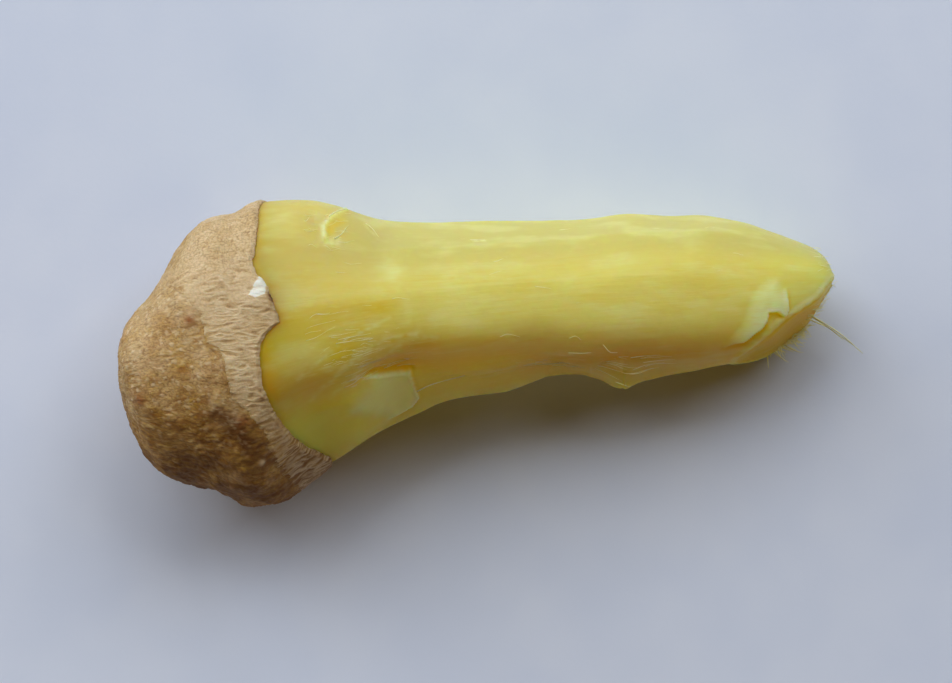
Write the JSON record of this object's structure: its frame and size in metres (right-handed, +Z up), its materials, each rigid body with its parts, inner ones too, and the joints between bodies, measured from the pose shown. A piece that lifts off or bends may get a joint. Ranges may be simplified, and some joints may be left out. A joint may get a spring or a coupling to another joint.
{
  "type": "ginger root",
  "caption": "Partly peeled ginger root lying on its side: a squat brown-skinned bulb and a thick pale-yellow peeled finger cut off at its tip.",
  "frame": {"origin": "middle of the bounding box's underside, on the surface the root lies on", "axes": "+X along the root from the skinned bulb to the cut tip, +Z up"},
  "size_m": [0.1166, 0.0484, 0.0372],
  "materials": {
    "ginger": "moist pale-yellow fibrous flesh, with tan-brown wrinkled skin on the bulb"
  },
  "bodies": {
    "root": {"ginger_root": "ginger"}
  },
  "joints": []
}
